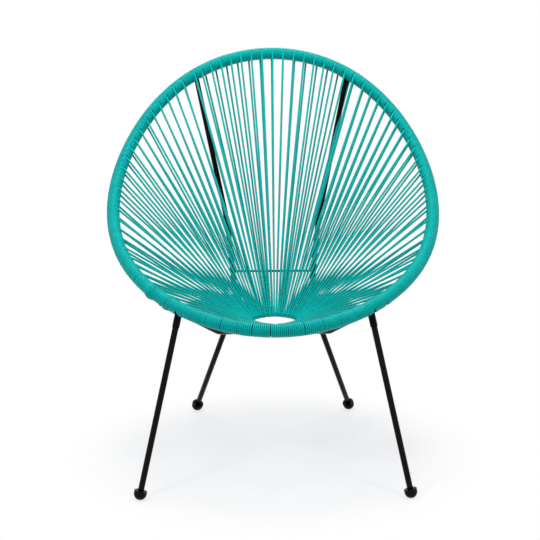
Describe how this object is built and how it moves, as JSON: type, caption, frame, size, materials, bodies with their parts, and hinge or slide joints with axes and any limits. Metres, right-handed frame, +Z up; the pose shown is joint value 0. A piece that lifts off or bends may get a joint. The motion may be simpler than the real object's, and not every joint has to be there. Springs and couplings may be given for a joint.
{
  "type": "acapulco chair",
  "caption": "Low lounge chair: egg-shaped tubular hoop with plastic cord laced to a small seat ring, on two bent side rails and splayed screw-on legs with ball feet.",
  "frame": {"origin": "on the floor, under the middle of the chair's bounding box", "axes": "+Z up from the floor, the sitter looks along -Y, +X is the right side of the picture"},
  "size_m": [0.734, 0.7432, 0.8707],
  "materials": {
    "frame_paint": "satin black powder coat on welded steel tube and rod",
    "leg_paint": "satin black powder coat on steel tube",
    "stud_zinc": "zinc plated stud",
    "foot_plastic": "moulded black plastic, slightly shiny",
    "seat_cord": "smooth turquoise PVC cord"
  },
  "bodies": {
    "root": {"hoop_tube": "frame_paint", "seat_ring": "frame_paint", "back_cross_rod": "frame_paint", "side_rail_left": "frame_paint", "side_rail_right": "frame_paint", "ring_stub_left": "frame_paint", "ring_stub_right": "frame_paint", "leg_socket_front_left": "frame_paint", "leg_socket_front_right": "frame_paint", "leg_socket_rear_left": "frame_paint", "leg_socket_rear_right": "frame_paint", "leg_stud_front_left": "stud_zinc", "leg_stud_front_right": "stud_zinc", "leg_stud_rear_left": "stud_zinc", "leg_stud_rear_right": "stud_zinc", "leg_front_left": "leg_paint", "leg_front_right": "leg_paint", "leg_rear_left": "leg_paint", "leg_rear_right": "leg_paint", "foot_front_left": "foot_plastic", "foot_front_right": "foot_plastic", "foot_rear_left": "foot_plastic", "foot_rear_right": "foot_plastic", "cord_front_1": "seat_cord", "cord_front_2": "seat_cord", "cord_front_3": "seat_cord", "cord_right_1": "seat_cord", "cord_right_2": "seat_cord", "cord_right_3": "seat_cord", "cord_right_4": "seat_cord", "cord_right_5": "seat_cord", "cord_back_1": "seat_cord", "cord_back_2": "seat_cord", "cord_back_3": "seat_cord", "cord_left_1": "seat_cord", "cord_left_2": "seat_cord", "cord_left_3": "seat_cord", "cord_left_4": "seat_cord", "cord_left_5": "seat_cord"}
  },
  "joints": []
}
